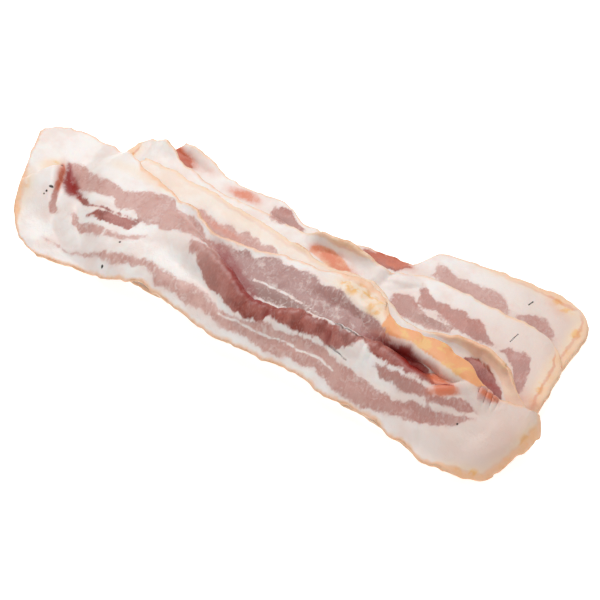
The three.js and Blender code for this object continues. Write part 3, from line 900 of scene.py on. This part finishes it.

# %% [markdown]
# Fat is cloudy and pinkish near the lean. Towards the right end it is painted darker and warmer,
# which is painted shade where the light falls off. Smoke reached the cut edges: they turn cream to
# orange, with a thin salmon ring further in, and tan at the very edge.
# rim_orange says how orange the rim of one rasher is.

# %% The fat
def fat_colour(g, p, rim_orange):
    fat = g.mix(p.cloud.ease(0.4, 0.65), FAT, FAT_PINK)
    # Painted shade: the fat darkens and warms towards the right end.
    fat = g.mix(p.lengthwise.ease(FAT_SHADE_FROM, FAT_SHADE_TO) * 0.9, fat, FAT_SHADED)
    fat = g.mix(p.lean.ease(-1.6, 0.3) * 0.25, fat, MAUVE)
    fat = g.mix((p.cream * (0.5 + p.cloud * 0.9)).math("MINIMUM", 1.0), fat, CREAM)
    fat = g.mix((p.cream - 0.45).ease(0.0, 0.5) * p.blotch.ease(0.46, 0.6), fat, YELLOW)
    smoke = p.rim + (p.lobes - 0.5) * 2.4 - p.cream * 2.4
    fat = g.mix((1 - smoke.ease(0.2, 2.0)) * 0.8, fat, g.mix(rim_orange, CREAM, ORANGE))
    ring = smoke.ease(0.6, 1.4) * (1 - smoke.ease(1.8, 2.8)) * p.cream.ease(0.3, 0.8)
    fat = g.mix(ring * (0.75 - rim_orange), fat, SALMON)
    cut_edge = 1 - (p.rim + (p.fray - 0.5) * 1.6).ease(0.0, 0.9)
    fat = g.mix(cut_edge * p.blotch.ease(0.35, 0.6) * 0.7, fat, TAN)
    band = (p.rind + (p.fray - 0.5) * 0.8).ease(-0.3, 0.5)
    band_colour = g.mix(p.blotch.ease(0.48, 0.62), ORANGE, YELLOW)
    return g.mix(band * (0.2 + rim_orange * 1.3), fat, band_colour)


print("the warm fat begins at", FAT_SHADE_FROM, "mm")

# %% [markdown]
# Pepper grains are small dark dots at their own places on the flat meat, given as x, v and half
# their width. A fine scratch is a row of smaller ones.

# %% Pepper and scratches
def scratch(start, end, dots=7, size=0.3):
    """A short dark mark, as a row of fine grains."""
    return [(*place, size) for place in np.linspace(start, end, dots)]


pepper = {"bacon_top": [(-103.4, 29.5, 0.55), (-103.6, 27.2, 0.5), (-104, 25.6, 0.4),
                        (-107.6, 42.6, 0.45), (-59, 12.3, 0.45), (-61, 2.2, 0.5), (98, 17.3, 0.4)],
          "bacon_third": scratch((98.1, 44.6), (99.2, 48.9)),
          "bacon_bottom": scratch((95.9, 50.9), (96.7, 53))}


def peppered(g, p, colour, grains):
    for x, v, size in grains:
        away = g.node("ShaderNodeVectorMath", {0: p.sheet, 1: (x, v, 0)}, output="Value",
                      operation="DISTANCE")
        outside = (away + (p.grain - 0.5) * 0.4).ease(size * 0.7, size * 1.3)
        colour = g.mix(1 - outside, colour, PEPPER)
    return colour


print("grains:", {name: len(grains) for name, grains in pepper.items()})

# %% [markdown]
# One recipe makes the bacon of every rasher. Lean and fat meet at a border that is frayed by broad
# lobes and short fibres, and the stains and painted shade lie over both, with their edges broken by
# the same noises.
# All is moist, so it is satin with a thin coat, and a little light passes in. Fibres and mottling
# are too fine for the mesh, so they are a slight bump.

# %% The bacon finish
def stained_and_shaded(g, p, colour):
    broken = 0.9 + (p.lobes - 0.5) * 1.4 + (p.grain - 0.5) * 0.6
    colour = g.mix(p.salmon * 0.35 + (p.salmon * broken).ease(0.15, 0.85) * 0.6, colour, SALMON)
    # Deep red: partly the muscle's own, partly painted shade in hollows.
    colour = g.mix(p.blood * 0.4 + (p.blood * broken).ease(0.15, 0.8) * 0.6, colour, DEEP_RED)
    # Painted shade along two thin crevices.
    return g.mix((p.dark + (p.grain - 0.5) * 0.6).ease(-0.4, 0.2) * 0.8, colour, CREVICE_SHADE)


def moist(g):
    """Constant settings of wet meat."""
    inputs = g.shader.inputs
    inputs["Subsurface Weight"].default_value = 0.25
    inputs["Subsurface Radius"].default_value = (1.0, 0.45, 0.3)
    inputs["Subsurface Scale"].default_value = 0.0012
    inputs["Specular IOR Level"].default_value = 0.35
    inputs["Coat Weight"].default_value = 0.07
    inputs["Coat Roughness"].default_value = 0.25


def bacon(name, rim_orange):
    g = Graph(name)
    p = patterns(g)
    border = p.lean + (p.lobes - 0.5) * LOBE_REACH + (p.fray - 0.5) * FIBRE_REACH
    muscle = border.ease(-0.55, 0.75)
    net = fat_net(g, p)
    colour = g.mix(muscle, fat_colour(g, p, rim_orange), lean_colour(g, p, net))
    colour = peppered(g, p, stained_and_shaded(g, p, colour), pepper.get(name, []))
    g.feed(g.shader.inputs["Base Color"], colour)
    g.feed(g.shader.inputs["Roughness"], 0.5 - muscle * 0.1 + (p.grain - 0.5) * 0.16)

    relief = p.grain * muscle * 0.45 + p.blotch * 0.8 + p.fray * 0.2 - muscle * 0.3 + net * 0.25
    bump = g.node("ShaderNodeBump", {"Height": relief, "Strength": 0.4, "Distance": 0.0007})
    g.feed(g.shader.inputs["Normal"], bump)
    moist(g)
    return g.material


finishes = {"rasher_bottom": 0.35, "rasher_third": 0.3, "rasher_second": 0.12,
            "rasher_top": 0.6}
for node, orange in finishes.items():
    piece = pieces[node]
    piece.data.materials.clear()
    piece.data.materials.append(bacon("bacon_" + node.split("_")[1], orange))
    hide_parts(node)
    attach(piece, "root")
    print(piece.name, "finished")

# %% [markdown]
# The stack lies on a plain pale table in soft studio light: a broad lamp above and a little
# behind, a weaker one in front, and a bright surround that keeps the shadows open.

# %% Table and light
TABLE_GLOW = 0.58
SURROUND = 0.38

bpy.ops.object.select_all(action="DESELECT")
bpy.ops.mesh.primitive_plane_add(size=6)
floor = bpy.context.object
floor.name = "floor"
paper = Graph("white_table")
paper.feed(paper.shader.inputs["Base Color"], tone(250, 250, 250))
paper.feed(paper.shader.inputs["Roughness"], 0.9)
paper.feed(paper.shader.inputs["Emission Color"], (1.0, 1.0, 1.0, 1.0))
paper.feed(paper.shader.inputs["Emission Strength"], TABLE_GLOW)
floor.data.materials.append(paper.material)


def lamp(name, place, size, power):
    bpy.ops.object.light_add(type="AREA", location=place)
    made = bpy.context.object
    made.name = name
    made.data.size = size
    made.data.energy = power
    made.rotation_mode = "QUATERNION"
    made.rotation_quaternion = (-Vector(place)).to_track_quat("-Z", "Y")


lamp("broad_lamp", (-0.25, 0.4, 0.75), 0.5, 5.4)
lamp("front_lamp", (0.4, -0.7, 0.6), 0.8, 2)
world = bpy.data.worlds.new("surround")
world.use_nodes = True
world.node_tree.nodes["Background"].inputs["Color"].default_value = (1, 1, 1, 1)
world.node_tree.nodes["Background"].inputs["Strength"].default_value = SURROUND
bpy.context.scene.world = world
bpy.context.scene.view_settings.view_transform = "Standard"

# %% [markdown]
# The camera looks down from the front right with a long lens, as the stack was photographed.

# %% Camera
AZIMUTH = math.radians(29)
ELEVATION = math.radians(52)
DISTANCE = 0.72
LENS = 109
target = Vector((0.01635, -0.006, 0.0072))
back = Vector((math.sin(AZIMUTH) * math.cos(ELEVATION), -math.cos(AZIMUTH) * math.cos(ELEVATION),
               math.sin(ELEVATION)))
bpy.ops.object.camera_add(location=target + back * DISTANCE)
camera = bpy.context.object
camera.rotation_mode = "QUATERNION"
camera.rotation_quaternion = (-back).to_track_quat("-Z", "Y")
camera.data.lens = LENS
bpy.context.scene.camera = camera
print("camera at", [round(c, 3) for c in camera.location])
